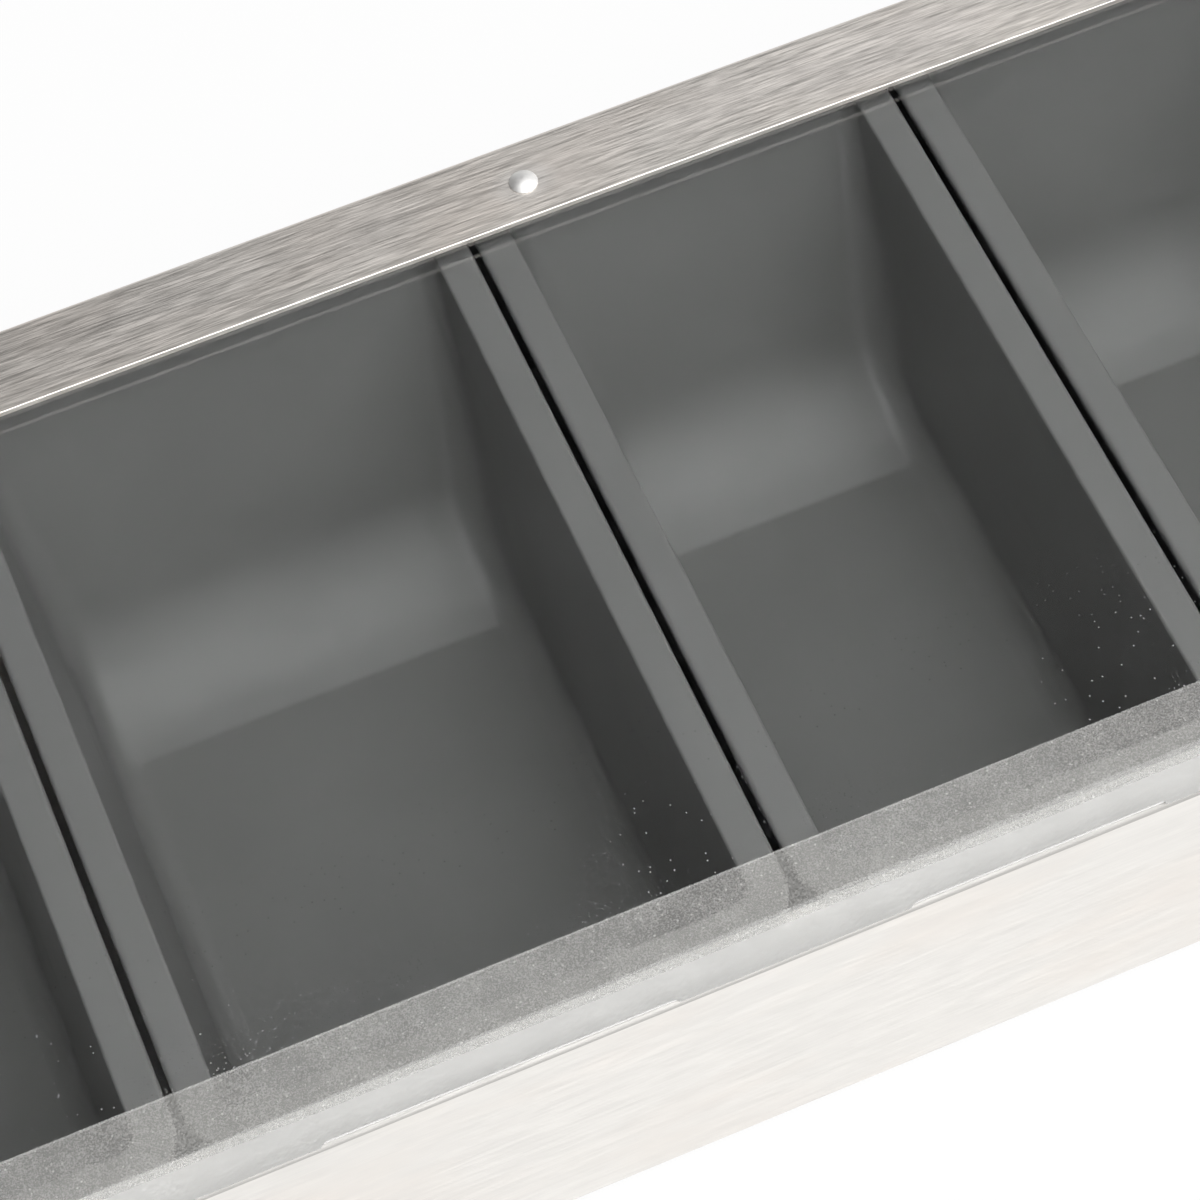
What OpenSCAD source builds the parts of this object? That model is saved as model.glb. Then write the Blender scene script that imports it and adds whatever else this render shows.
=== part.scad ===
// Bar garnish tray: folded steel housing, hinged clear lid on a steel rail, five lift-out inserts.
// Millimetres, +X to the right, +Y to the rear, +Z up, origin under the middle of the tray.

/* [Housing] */
// Depth of the housing from front face to rear face
body_depth = 147.6; // [120:0.1:180]
// Height of the folded steel, without the pads under it
body_height = 53; // [42:0.5:65]
// Thickness of the housing's steel sheet
sheet = 0.8; // [0.6:0.1:1.5]
// Inner radius of the bends in the housing's sheet and in the lid's rail
bend_r = 0.4; // [0.2:0.1:2.5]

/* [Pads] */
// Radius of a non-slip pad
pad_r = 7; // [4:0.5:10]
// Thickness of a non-slip pad
pad_h = 1; // [0.8:0.1:3]
// Distance of a pad's centre from the nearest two faces
pad_inset = 16; // [12:1:30]

/* [Inserts] */
// Centre distance of two large inserts
large_pitch = 94.5; // [84:0.5:100]
// Centre distance of two small inserts
small_pitch = 74.5; // [64:0.5:78]
// Gap between the rims of neighbouring inserts
rim_gap = 1.2; // [0.6:0.1:3]
// Distance from the housing's front face to the rims
front_margin = 3.8; // [3.6:0.1:6]
// Distance from the rims to the housing's rear face
rear_margin = 2.8; // [2.6:0.1:4]
// Distance from the housing's end faces to the rims of a centred row
end_margin = 7.85; // [7:0.05:12]
// How far the row of inserts can slide to either end
end_play = 2.85; // [2.3:0.05:3]
// How far the row stands to the right of the middle, within its end play
row_shift = 1.2; // [-2:0.1:2]
// Width of a rim
rim_w = 6; // [5:0.1:9]
// Thickness of a rim
rim_t = 1.7; // [1.2:0.1:3]
// Radius of a rim's outer corners
rim_corner_r = 8; // [7:0.5:12]
// Radius of the corners of an insert's mouth
mouth_corner_r = 3; // [2:0.5:6]
// Rounding of a rim's outer upper edge
rim_edge_r = 1.4; // [0.4:0.1:2]
// Gap between an insert and the housing's floor
under_gap = 5.2; // [1:0.1:15]
// Wall thickness of an insert
insert_wall = 2; // [1.2:0.1:3]
// How far each side wall leans in towards the floor
side_draft = 4; // [1:0.5:6]
// How far the rear wall comes forward before it has curved into the floor
scoop_run = 46; // [42:1:60]
// Radius of the curve that leads from the rear wall into the floor
scoop_r = 30; // [16:1:32]
// Radius where an insert's walls meet its floor
floor_r = 5.5; // [4:0.5:12]

/* [Lid] */
// Thickness of the clear lid
lid_t = 3; // [2:0.1:5]
// Clear height between the rims and the lid
lid_clear = 1.5; // [1.2:0.1:4]
// Outer radius of the lid's turned-down edge
lid_edge_r = 5; // [4:0.5:8]
// Radius of the lid's front corners seen from above
lid_corner_r = 10; // [8:0.5:16]

/* [Lid rail] */
// Width of the steel strip along the lid's rear edge
rail_w = 15.7; // [12:0.1:25]
// Thickness of the rail's steel
rail_t = 1; // [0.8:0.1:2]
// Height of the rail's rear leg
rail_leg = 10; // [9:0.5:16]
// Distance between neighbouring rivets along the rail
rivet_spacing = 150; // [80:5:170]
// Sideways place of the middle rivet
rivet_row_x = -4.8; // [-10:0.1:10]
// Distance from the rail's front edge to the middle of its rivets
rivet_inset = 6.9; // [5:0.1:8]
// Radius of a rail rivet's head
rivet_head_r = 2.35; // [2:0.05:3.5]
// Height of a rail rivet's head
rivet_head_h = 1.1; // [0.6:0.1:1.6]
// Radius of a rail rivet's shank
rivet_r = 1.6; // [1:0.1:2]

/* [Hinges] */
// Distance of each hinge's middle from the tray's middle
hinge_x = 150; // [60:5:150]
// Width of a hinge
hinge_w = 36; // [24:1:60]
// Thickness of a hinge leaf
leaf_t = 1; // [0.8:0.1:1.5]
// Radius of a hinge barrel
barrel_r = 2.6; // [2.3:0.1:4]
// Radius of a hinge pin
pin_r = 1.2; // [0.8:0.1:1.6]
// Radial clearance of a pin in the moving knuckle
pin_clearance = 0.05; // [0.02:0.01:0.1]
// Gap between a hinge barrel and the housing's rear face
barrel_gap = 0.5; // [0.4:0.1:0.9]

/* [Hidden] */

// Gap left between pieces that rest on each other but move apart
seat_gap = 0.3;
// Front and rear play of an insert's bowl between the flanges
bowl_play = 0.8;
// Clearance of a rivet's shank in its hole
rivet_clearance = 0.05;
// Gap between two knuckles of a hinge
knuckle_gap = 0.4;
// Extra length of a cutting tool past the face that it cuts
cut = 1;
curve_fn = 64;
blend_fn = 32;
ball_fn = 24;
// Angle up to which balls follow the rear wall's curve, and the angle between two of them
scoop_turn = 60;
scoop_step = 7.5;

// Depths, measured from the housing's front face and then centred on the whole tray
axis_back = barrel_gap + barrel_r;
overall_depth = body_depth + axis_back + barrel_r;
front_y = -overall_depth / 2;
rear_y = front_y + body_depth;
body_y = (front_y + rear_y) / 2;
axis_y = rear_y + axis_back;

// Heights from the surface that the tray stands on
body_z = pad_h;
flange_z = body_z + body_height;
rim_z = flange_z + seat_gap + rim_t;
lid_under_z = rim_z + lid_clear;
lid_top_z = lid_under_z + lid_t;
lip_z = flange_z + seat_gap;
rail_top_z = lid_top_z + rail_t;

// The rail's rear leg hangs down behind the housing, and the hinge barrel lies under it
leg_outer_y = axis_y - leaf_t * 0.6;
leg_inner_y = leg_outer_y - rail_t;
lid_rear_y = leg_outer_y - rail_t - bend_r;
leg_z = rail_top_z - rail_leg;
axis_z = leg_z - barrel_r - 0.4;

// The row of inserts from left to right: each one's width of the row and its middle
row_pitch = [large_pitch, large_pitch, small_pitch, small_pitch, small_pitch];
function row_start(i) = i == 0 ? 0 : row_start(i - 1) + row_pitch[i - 1];
row_length = row_start(len(row_pitch) - 1) + row_pitch[len(row_pitch) - 1];
function insert_x(i) = row_shift - row_length / 2 + row_start(i) + row_pitch[i] / 2;
rim_depth = body_depth - front_margin - rear_margin;
row_y = front_y + front_margin + rim_depth / 2;
insert_depth = rim_z - body_z - sheet - under_gap - insert_wall;

// The housing is as long as the row, and its flanges end just clear of the bowls
body_length = row_length - rim_gap + 2 * end_margin;
front_flange_w = front_margin + rim_w - insert_wall - bowl_play;
rear_flange_w = rear_margin + rim_w - insert_wall - bowl_play;
end_flange_w = end_margin + rim_w - insert_wall - end_play;

rivet_y = leg_outer_y - rail_w + rivet_inset;
function rivet_x(side) = rivet_row_x + side * rivet_spacing;

knuckle_l = (hinge_w - 2 * knuckle_gap) / 3;
leaf_rivet_r = 1;
leaf_rivet_head_r = 2;
leaf_rivet_head_h = 0.8;
leaf_rivet_tail_h = 0.5;
leaf_rivet_x = hinge_w / 3;
fixed_leaf_h = 13;
fixed_leaf_top = axis_z - barrel_r - 0.3;
fixed_leaf_rivet_z = fixed_leaf_top - fixed_leaf_h / 2;
moving_leaf_top = leg_z + 7.5;
moving_leaf_rivet_z = leg_z + 3;

washer_r = 4.5;
washer_t = 0.6;
rivet_tail_h = 0.4;

// A rectangle centred on its middle, with round corners
module rounded_rect(size, r) {
    square([size[0] - 2 * r, size[1]], center = true);
    square([size[0], size[1] - 2 * r], center = true);
    for (x = [-1, 1], y = [-1, 1])
        translate([x * (size[0] / 2 - r), y * (size[1] / 2 - r)]) circle(r, $fn = curve_fn);
}

// Stands an outline drawn in Y and Z up across the tray and extrudes it along X
module across(x0, length) {
    translate([x0, 0, 0]) rotate([90, 0, 90]) linear_extrude(length) children();
}

// The housing's section, as a closed tube of the given wall that starts at depth `inset`
module tube_section(inset, r) {
    translate([body_y, body_z + body_height / 2])
        rounded_rect([body_depth - 2 * inset, body_height - 2 * inset], r);
}

// Front, floor and rear in one folded sheet, open at the top between its two flanges
module housing_wrap() {
    opening = body_depth - front_flange_w - rear_flange_w;
    color([0.86, 0.85, 0.84]) difference() {
        across(-body_length / 2, body_length) difference() {
            tube_section(0, bend_r + sheet);
            tube_section(sheet, bend_r);
            translate([front_y + front_flange_w, flange_z - sheet - cut]) square([opening, sheet + 2 * cut]);
        }
        for (side = [-1, 1]) leaf_rivet_holes(side, rear_y, fixed_leaf_rivet_z);
    }
}

// A pressed end: a plate with a return flange all round that lies inside the folded sheet
module end_panel(side) {
    x0 = side > 0 ? body_length / 2 - sheet : -body_length / 2;
    ring_x0 = side > 0 ? body_length / 2 - end_flange_w : -body_length / 2 + sheet;
    color([0.84, 0.83, 0.82]) {
        across(x0, sheet) tube_section(sheet, bend_r);
        across(ring_x0, end_flange_w - sheet) difference() {
            tube_section(sheet, bend_r);
            tube_section(2 * sheet, bend_r);
        }
    }
}

module pad(side, end) {
    x = side * (body_length / 2 - pad_inset);
    y = body_y + end * (body_depth / 2 - pad_inset);
    edge_r = pad_h * 0.3;
    color([0.13, 0.13, 0.14]) translate([x, y, 0]) rotate_extrude($fn = curve_fn) {
        square([pad_r - edge_r, pad_h]);
        translate([0, edge_r]) square([pad_r, pad_h - edge_r]);
        translate([pad_r - edge_r, edge_r]) circle(edge_r, $fn = blend_fn);
    }
}

// Two holes for the rivets of one leaf, through whatever lies at depth y
module leaf_rivet_holes(side, y, z) {
    for (end = [-1, 1])
        translate([side * hinge_x + end * leaf_rivet_x, y, z])
            rotate([90, 0, 0])
                cylinder(h = 8, r = leaf_rivet_r + rivet_clearance, center = true, $fn = curve_fn);
}

// A small domed rivet that points forward: head on the outer face, tail on the inner face
module leaf_rivet(x, outer_y, inner_y, z) {
    translate([x, inner_y, z]) rotate([-90, 0, 0]) {
        cylinder(h = outer_y - inner_y, r = leaf_rivet_r, $fn = curve_fn);
        translate([0, 0, outer_y - inner_y]) dome(leaf_rivet_head_r, leaf_rivet_head_h);
        translate([0, 0, -leaf_rivet_tail_h])
            cylinder(h = leaf_rivet_tail_h, r = leaf_rivet_r * 1.5, $fn = curve_fn);
    }
}

// A shallow dome on z = 0, cut from the ball that has this rim and this height
module dome(r, h) {
    ball_r = (r * r + h * h) / (2 * h);
    rotate_extrude($fn = curve_fn) intersection() {
        translate([0, h - ball_r]) circle(ball_r, $fn = 4 * curve_fn);
        square([r + cut, h]);
    }
}

// A length of hinge barrel along X, centred on the hinge's own middle
module barrel(x0, length, bore_r) {
    translate([x0, axis_y, axis_z]) rotate([0, 90, 0]) difference() {
        cylinder(h = length, r = barrel_r, $fn = curve_fn);
        translate([0, 0, -cut]) cylinder(h = length + 2 * cut, r = bore_r, $fn = curve_fn);
    }
}

// The plate that ties a knuckle to its leaf, cut away where the pin passes
module knuckle(x0, y0, z0, z1) {
    difference() {
        translate([x0, y0, z0]) cube([knuckle_l, leaf_t, z1 - z0]);
        translate([x0 - cut, axis_y, axis_z]) rotate([0, 90, 0])
            cylinder(h = knuckle_l + 2 * cut, r = (barrel_r + pin_r) / 2, $fn = curve_fn);
    }
}

module fixed_leaf(side) {
    x_left = side * hinge_x - hinge_w / 2;
    color([0.78, 0.77, 0.76]) difference() {
        union() {
            translate([x_left, rear_y, fixed_leaf_top - fixed_leaf_h]) cube([hinge_w, leaf_t, fixed_leaf_h]);
            for (x0 = [x_left, x_left + hinge_w - knuckle_l]) {
                knuckle(x0, rear_y, fixed_leaf_top - leaf_t, axis_z);
                barrel(x0, knuckle_l, pin_r + pin_clearance / 2);
            }
        }
        leaf_rivet_holes(side, rear_y, fixed_leaf_rivet_z);
    }
}

module moving_leaf(side) {
    x_left = side * hinge_x - hinge_w / 2;
    x_mid = x_left + knuckle_l + knuckle_gap;
    color([0.78, 0.77, 0.76]) difference() {
        union() {
            translate([x_left, leg_outer_y, leg_z]) cube([hinge_w, leaf_t, moving_leaf_top - leg_z]);
            knuckle(x_mid, leg_outer_y, axis_z, leg_z + leaf_t);
            barrel(x_mid, knuckle_l, pin_r + pin_clearance);
        }
        leaf_rivet_holes(side, leg_outer_y, moving_leaf_rivet_z);
    }
}

// A straight pin with a peened head at each end of the barrel
module hinge_pin(side) {
    head_t = 0.8;
    color([0.7, 0.69, 0.68]) translate([side * hinge_x, axis_y, axis_z]) rotate([0, 90, 0]) {
        cylinder(h = hinge_w, r = pin_r, center = true, $fn = curve_fn);
        for (end = [0, 1]) mirror([0, 0, end]) translate([0, 0, hinge_w / 2])
            dome(barrel_r * 0.75, head_t);
    }
}

module housing_hinge_rivets() {
    color([0.9, 0.9, 0.9]) for (side = [-1, 1], end = [-1, 1])
        leaf_rivet(side * hinge_x + end * leaf_rivet_x, rear_y + leaf_t, rear_y - sheet, fixed_leaf_rivet_z);
}

module lid_hinge_rivets() {
    color([0.9, 0.9, 0.9]) for (side = [-1, 1], end = [-1, 1])
        leaf_rivet(side * hinge_x + end * leaf_rivet_x, leg_outer_y + leaf_t, leg_inner_y, moving_leaf_rivet_z);
}

// The lid's edge in section: the plate runs in from the left, turns down and ends in the lip
module lid_edge_section(reach) {
    inner_r = max(lid_edge_r - lid_t, 0.2);
    difference() {
        union() {
            translate([0, lid_top_z - lid_edge_r]) square([reach - lid_edge_r, lid_edge_r]);
            translate([0, lip_z]) square([reach, lid_top_z - lid_edge_r - lip_z]);
            translate([reach - lid_edge_r, lid_top_z - lid_edge_r]) intersection() {
                circle(lid_edge_r, $fn = curve_fn);
                square(lid_edge_r);
            }
        }
        translate([-cut, lip_z - cut]) square([reach - lid_edge_r + cut, lid_under_z - lip_z + cut]);
        translate([-cut, lip_z - cut]) square([reach - lid_t + cut, lid_top_z - lid_edge_r - lip_z + cut]);
        translate([reach - lid_edge_r, lid_top_z - lid_edge_r]) circle(inner_r, $fn = curve_fn);
    }
}

// The clear lid: a flat plate whose edge turns down along the front and both ends
module lid_panel() {
    corner_x = body_length / 2 - lid_corner_r;
    corner_y = front_y + lid_corner_r;
    side_l = lid_rear_y - corner_y;
    color([0.85, 0.87, 0.88, 0.35]) difference() {
        union() {
            translate([-corner_x, corner_y, lid_under_z]) cube([2 * corner_x, side_l, lid_t]);
            translate([-corner_x, corner_y, 0]) rotate([90, 0, 90]) linear_extrude(2 * corner_x)
                mirror([1, 0]) lid_edge_section(lid_corner_r);
            for (side = [0, 1]) mirror([side, 0, 0]) {
                translate([corner_x, corner_y, 0]) rotate([0, 0, -90])
                    rotate_extrude(angle = 90, $fn = curve_fn) lid_edge_section(lid_corner_r);
                translate([corner_x, lid_rear_y, 0]) rotate([90, 0, 0]) linear_extrude(side_l)
                    lid_edge_section(lid_corner_r);
            }
        }
        for (side = [-1, 0, 1]) rail_rivet_hole(side);
    }
}

// A hole for one rail rivet, through the lid and the rail
module rail_rivet_hole(side) {
    translate([rivet_x(side), rivet_y, lid_under_z - cut])
        cylinder(h = lid_t + rail_t + 2 * cut, r = rivet_r + rivet_clearance, $fn = curve_fn);
}

// The rail: a strip over the lid's rear edge that bends down into a leg behind it
module lid_rail() {
    length = body_length - 2 * lid_edge_r;
    outer_r = bend_r + rail_t;
    edge_r = rail_t * 0.2;
    strip_y = leg_outer_y - rail_w;
    color([0.72, 0.71, 0.69]) difference() {
        across(-length / 2, length) difference() {
            union() {
                translate([strip_y + edge_r, lid_top_z]) square([rail_w - edge_r - outer_r, rail_t]);
                translate([strip_y, lid_top_z]) square([edge_r, rail_t - edge_r]);
                translate([strip_y + edge_r, rail_top_z - edge_r]) circle(edge_r, $fn = curve_fn);
                translate([leg_inner_y, leg_z]) square([rail_t, rail_leg - outer_r]);
                intersection() {
                    translate([leg_outer_y - outer_r, rail_top_z - outer_r]) circle(outer_r, $fn = curve_fn);
                    translate([leg_outer_y - outer_r, rail_top_z - outer_r]) square(outer_r);
                }
            }
            translate([leg_outer_y - outer_r, rail_top_z - outer_r]) circle(bend_r, $fn = curve_fn);
        }
        for (side = [-1, 0, 1]) rail_rivet_hole(side);
        for (side = [-1, 1]) leaf_rivet_holes(side, leg_outer_y, moving_leaf_rivet_z);
    }
}

// A blind rivet: dome on the rail, shank through rail and lid, flat tail under the washer
module lid_rivet(side) {
    tail_z = lid_under_z - washer_t - rivet_tail_h;
    color([0.93, 0.93, 0.92]) translate([rivet_x(side), rivet_y, 0]) {
        translate([0, 0, rail_top_z]) dome(rivet_head_r, rivet_head_h);
        translate([0, 0, tail_z]) cylinder(h = rail_top_z - tail_z, r = rivet_r, $fn = curve_fn);
        translate([0, 0, tail_z]) cylinder(h = rivet_tail_h, r = rivet_head_r, $fn = curve_fn);
    }
}

module lid_washer(side) {
    color([0.8, 0.8, 0.8]) translate([rivet_x(side), rivet_y, lid_under_z - washer_t]) difference() {
        cylinder(h = washer_t, r = washer_r, $fn = curve_fn);
        translate([0, 0, -cut]) cylinder(h = washer_t + 2 * cut, r = rivet_r + rivet_clearance, $fn = curve_fn);
    }
}

// One insert's bowl, grown outward by `grow`: the hull of its mouth, a ball in each front corner of
// its floor, and a row of balls at each side that climbs the curve of the rear wall
module bowl(width, grow) {
    mouth_x = width / 2 - rim_w;
    mouth_y = rim_depth / 2 - rim_w;
    mouth_t = rim_t * 0.4;
    floor_z = rim_z - insert_depth;
    ball_x = mouth_x - side_draft - floor_r;
    scoop_y = mouth_y - scoop_run;
    climb_r = scoop_r - floor_r;
    hull() for (x = [-1, 1]) {
        for (y = [-1, 1])
            translate([x * (mouth_x - mouth_corner_r), y * (mouth_y - mouth_corner_r), rim_z - mouth_t])
                cylinder(h = mouth_t, r = mouth_corner_r + grow, $fn = blend_fn);
        translate([x * ball_x, side_draft / 2 + floor_r - mouth_y, floor_z + floor_r])
            sphere(floor_r + grow, $fn = ball_fn);
        for (a = [0 : scoop_step : scoop_turn])
            translate([x * ball_x, scoop_y + climb_r * sin(a), floor_z + scoop_r - climb_r * cos(a)])
                sphere(floor_r + grow, $fn = ball_fn);
    }
}

// A rim plate with round corners and a rounded outer upper edge
module rim_plate(width) {
    edge_r = min(rim_edge_r, rim_t - 0.2);
    hull() for (x = [-1, 1], y = [-1, 1])
        translate([x * (width / 2 - rim_corner_r), y * (rim_depth / 2 - rim_corner_r), rim_z - rim_t])
            rotate_extrude($fn = blend_fn) {
                square([rim_corner_r, rim_t - edge_r]);
                translate([rim_corner_r - edge_r, rim_t - edge_r]) intersection() {
                    circle(edge_r, $fn = blend_fn);
                    square(edge_r);
                }
            }
}

// A lift-out insert: rim, side walls, and a rear wall that slopes forward to the floor
module insert(i) {
    width = row_pitch[i] - rim_gap;
    color([0.33, 0.34, 0.34]) translate([insert_x(i), row_y, 0]) difference() {
        union() {
            rim_plate(width);
            intersection() {
                bowl(width, insert_wall);
                translate([-width, -rim_depth, 0]) cube([2 * width, 2 * rim_depth, rim_z - rim_t / 2]);
            }
        }
        translate([0, 0, rim_t * 0.1]) bowl(width, 0);
    }
}

housing_wrap();
end_panel(-1);  // left_end_panel
end_panel(1);  // right_end_panel
pad(-1, -1);  // front_left_pad
pad(1, -1);  // front_right_pad
pad(-1, 1);  // rear_left_pad
pad(1, 1);  // rear_right_pad
fixed_leaf(-1);  // left_hinge_fixed_leaf
fixed_leaf(1);  // right_hinge_fixed_leaf
hinge_pin(-1);  // left_hinge_pin
hinge_pin(1);  // right_hinge_pin
housing_hinge_rivets();
lid_panel();
lid_rail();
lid_rivet(-1);  // left_lid_rivet
lid_rivet(0);  // centre_lid_rivet
lid_rivet(1);  // right_lid_rivet
lid_washer(-1);  // left_lid_washer
lid_washer(0);  // centre_lid_washer
lid_washer(1);  // right_lid_washer
moving_leaf(-1);  // left_hinge_moving_leaf
moving_leaf(1);  // right_hinge_moving_leaf
lid_hinge_rivets();
insert(0);  // large_insert_1
insert(1);  // large_insert_2
insert(2);  // small_insert_1
insert(3);  // small_insert_2
insert(4);  // small_insert_3
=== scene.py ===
"""Looks of the bar garnish tray, laid out as an add-on and run as a script.

Metres, +X to the right, +Y to the rear, +Z up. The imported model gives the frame.
"""

import math

import bmesh
import bpy
import numpy as np
from bpy.props import FloatProperty, FloatVectorProperty, PointerProperty
from bpy.types import Operator, Panel, PropertyGroup
from mathutils import Matrix, Vector


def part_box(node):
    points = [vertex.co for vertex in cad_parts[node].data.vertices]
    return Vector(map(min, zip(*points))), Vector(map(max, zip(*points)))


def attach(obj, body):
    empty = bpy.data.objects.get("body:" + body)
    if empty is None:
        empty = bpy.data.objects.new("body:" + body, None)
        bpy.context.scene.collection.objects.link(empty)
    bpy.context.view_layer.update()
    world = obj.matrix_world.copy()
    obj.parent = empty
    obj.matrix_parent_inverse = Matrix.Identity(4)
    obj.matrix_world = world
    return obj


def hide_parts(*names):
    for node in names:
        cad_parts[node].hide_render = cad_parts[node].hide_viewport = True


bl_info = {
    "name": "Bar garnish tray",
    "version": (1, 0, 0),
    "blender": (4, 5, 0),
    "location": "View3D > Sidebar > Garnish tray",
    "description": "Inserts, clear lid, rail and housing of a bar garnish tray, with their finishes",
    "category": "Object",
}

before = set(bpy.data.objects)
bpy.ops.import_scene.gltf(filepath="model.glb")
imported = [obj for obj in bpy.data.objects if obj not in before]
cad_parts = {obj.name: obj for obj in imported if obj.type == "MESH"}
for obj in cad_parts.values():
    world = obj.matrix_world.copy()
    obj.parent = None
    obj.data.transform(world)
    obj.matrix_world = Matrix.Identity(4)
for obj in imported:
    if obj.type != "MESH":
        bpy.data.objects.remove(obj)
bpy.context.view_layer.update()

INSERTS = ("large_insert_1", "large_insert_2", "small_insert_1", "small_insert_2", "small_insert_3")
END_PANELS = ("left_end_panel", "right_end_panel")
LEAF_NODES = (
    "left_hinge_fixed_leaf",
    "right_hinge_fixed_leaf",
    "left_hinge_moving_leaf",
    "right_hinge_moving_leaf",
)
PIN_NODES = ("left_hinge_pin", "right_hinge_pin")
LEAF_RIVET_NODES = ("housing_hinge_rivets", "lid_hinge_rivets")
WASHER_NODES = ("left_lid_washer", "centre_lid_washer", "right_lid_washer")
LID_RIVETS = ("left_lid_rivet", "centre_lid_rivet", "right_lid_rivet")
PAD_NODES = ("front_left_pad", "front_right_pad", "rear_left_pad", "rear_right_pad")

# Vertices round a quarter circle, and along a straight side, of each outline
ARC_STEPS = 20
SIDE_STEPS = 10
# Distance of a straight side's outermost places from its ends, as a share of its length
SIDE_END = 0.01
# Steps round a wall's fillet and round a small edge
FILLET_STEPS = 20
EDGE_STEPS = 6
# Steps once round a turned rivet, and from its head's rim to the middle
TURN_STEPS = 64
DOME_STEPS = 17
# Parts of a wall's straight stretch at which it has a row of points
WALL_PLACES = (0.0, 0.015, 0.25, 0.5, 0.75, 0.985)
# Parts of the crease's angle at which the bowl has a row of points, close together round the crease
CREASE_PLACES = (0.58, 0.5, 0.42, 0.0)
# Distance from an edge's rounding to the row of points that keeps the face next to it flat
FLAT_GAP = 0.0002
# How far the floor's innermost row of points lies inside the balls' centres
FLOOR_INSET = 0.001
# The search for a wall's tilt: its least angle and how often it halves the range
LEAST_TILT = 0.001
TILT_HALVINGS = 40
# Gap that keeps the lid's top free of the rail that lies on it
RAIL_GAP = 0.00002
# Material numbers of the lid
CLEAR, BORDER, LIP = 0, 1, 2


def length(name, description, default):
    """A size in metres that the sidebar shows as a length."""
    return FloatProperty(
        name=name, description=description, default=default, min=0.0, precision=5,
        unit="LENGTH", subtype="DISTANCE",
    )


def colour(name, description, default):
    """A linear colour."""
    return FloatVectorProperty(
        name=name, description=description, default=default, size=3, min=0.0, max=1.0, subtype="COLOR"
    )


def share(name, description, default):
    """A number from 0 to 1."""
    return FloatProperty(
        name=name, description=description, default=default, min=0.0, max=1.0, subtype="FACTOR"
    )


def power(name, description, default):
    """A lamp's power in watts."""
    return FloatProperty(name=name, description=description, default=default, min=0.0, unit="POWER")


class GARNISHTRAY_PG_inserts(PropertyGroup):
    rim_width: length("Rim width", "Width of an insert's rim", 0.006)
    rim_thickness: length("Rim thickness", "Thickness of the rim plate", 0.0017)
    rim_corner: length("Rim corner", "Radius of the rim's outer corners", 0.008)
    rim_edge: length("Rim edge", "Rounding of the rim's outer upper edge", 0.0008)
    mouth_corner: length("Mouth corner", "Radius of the mouth's corners", 0.003)
    mouth_edge: length("Mouth edge", "Rounding where the rim turns down into the bowl", 0.0005)
    wall: length("Wall", "Wall thickness of the bowl", 0.002)
    depth: length("Depth", "Depth of the bowl's inner floor under the rim", 0.04695)
    draft: length("Draft", "How far a side wall leans in", 0.004)
    scoop_run: length("Scoop run", "How far the rear wall comes forward before it is level", 0.046)
    scoop_radius: length("Scoop radius", "Radius of the curve from the rear wall into the floor", 0.030)
    floor_radius: length("Floor radius", "Radius where a wall meets the floor", 0.0055)
    crease: FloatProperty(
        name="Crease", description="Angle at which the slope starts from the floor",
        default=math.radians(12), min=0.0, max=0.5, subtype="ANGLE",
    )
    plastic: colour("Plastic", "Moulded plastic of the inserts", (0.24, 0.24, 0.236))
    roughness: share("Roughness", "Roughness of the plastic", 0.38)


class GARNISHTRAY_PG_lid(PropertyGroup):
    thickness: length("Thickness", "Thickness of the lid's sheet", 0.003)
    edge: length("Edge radius", "Outer radius of the turned-down edge", 0.005)
    corner: length("Corner radius", "Radius of the front corners seen from above", 0.010)
    frost_width: length("Frost width", "Width of the frosted border on top", 0.0134)
    frost_step: length("Frost step", "How far the frosted border lies under the clear part", 0.00012)
    clear: colour("Clear", "Tint of the clear sheet", (0.965, 0.97, 0.97))
    frost: colour("Frost", "Tint of the frosted border", (0.92, 0.91, 0.88))
    frost_roughness: share("Frost roughness", "Roughness of the frosted border", 0.11)
    frost_open: share("Frost opening", "Share of light that the frost lets through", 0.72)
    # The lip's tint is the border's frost made darker: painted shade on the turned-down lip
    lip_frost_and_painted_shade: colour("Lip frost", "Tint of the frosted lip", (0.8, 0.795, 0.775))
    lip_roughness: share("Lip roughness", "Roughness of the frosted lip", 0.45)
    lip_open: share("Lip opening", "Share of light that the lip lets through", 0.5)
    recess_height: length("Recess height", "Height of a finger recess in the lip's lower edge", 0.0015)
    recess_large: length("Large recess", "Length of the recess before a large insert", 0.055)
    recess_small: length("Small recess", "Length of the recess before a small insert", 0.041)
    recess_shift: length("Recess shift", "How far a recess lies left of its insert's middle", 0.0025)


class GARNISHTRAY_PG_metal(PropertyGroup):
    steel: colour("Steel", "Brushed steel of the housing", (0.80, 0.78, 0.75))
    # Painted shade under the lip on the housing's front flange and fold: how far back and how far down it
    # reaches
    painted_shade_depth: length("Ledge depth", "How far the dull front of the housing's flange goes back", 0.0026)
    painted_shade_drop: length("Ledge drop", "How far the dull ledge reaches down over the front fold", 0.0009)
    rail: colour("Rail", "Brushed steel of the rail", (0.72, 0.685, 0.645))
    hinge: colour("Hinge", "Satin steel of the hinges", (0.62, 0.61, 0.6))
    rivet: colour("Rivet", "Aluminium of the rivets", (0.93, 0.925, 0.91))
    rivet_radius: length("Rivet head radius", "Radius of a rail rivet's head", 0.00235)
    rivet_height: length("Rivet head height", "Height of a rail rivet's head", 0.0011)
    shank_radius: length("Shank radius", "Radius of a rail rivet's shank", 0.0016)
    pad: colour("Pad", "Rubber of the pads", (0.028, 0.028, 0.03))


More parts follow.
